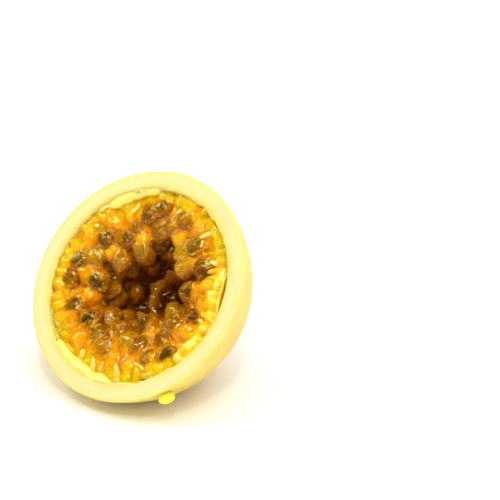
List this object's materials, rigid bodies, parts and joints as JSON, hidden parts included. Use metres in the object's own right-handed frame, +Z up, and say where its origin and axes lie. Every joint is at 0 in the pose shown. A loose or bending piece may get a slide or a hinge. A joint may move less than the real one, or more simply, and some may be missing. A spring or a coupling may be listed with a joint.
{
  "type": "passion fruit half",
  "caption": "Cut half of a yellow passion fruit, tilted on a small flat spot, with thick pale rind and juicy seeded pulp round an open hollow.",
  "frame": {"origin": "middle of the flat spot that the half rests on", "axes": "+Z up, the cut face looks towards -Y and upwards at 51 degrees from lying flat, +X to the right of one who looks at the cut face"},
  "size_m": [0.0782, 0.0621, 0.0659],
  "materials": {
    "rind": "waxy yellow skin over cream pith",
    "inner_membrane": "moist pale yellow membrane",
    "pulp": "wet amber and orange gel with dark seeds"
  },
  "bodies": {
    "root": {"rind": "rind", "inner_membrane": "inner_membrane", "pulp": "pulp"}
  },
  "joints": []
}
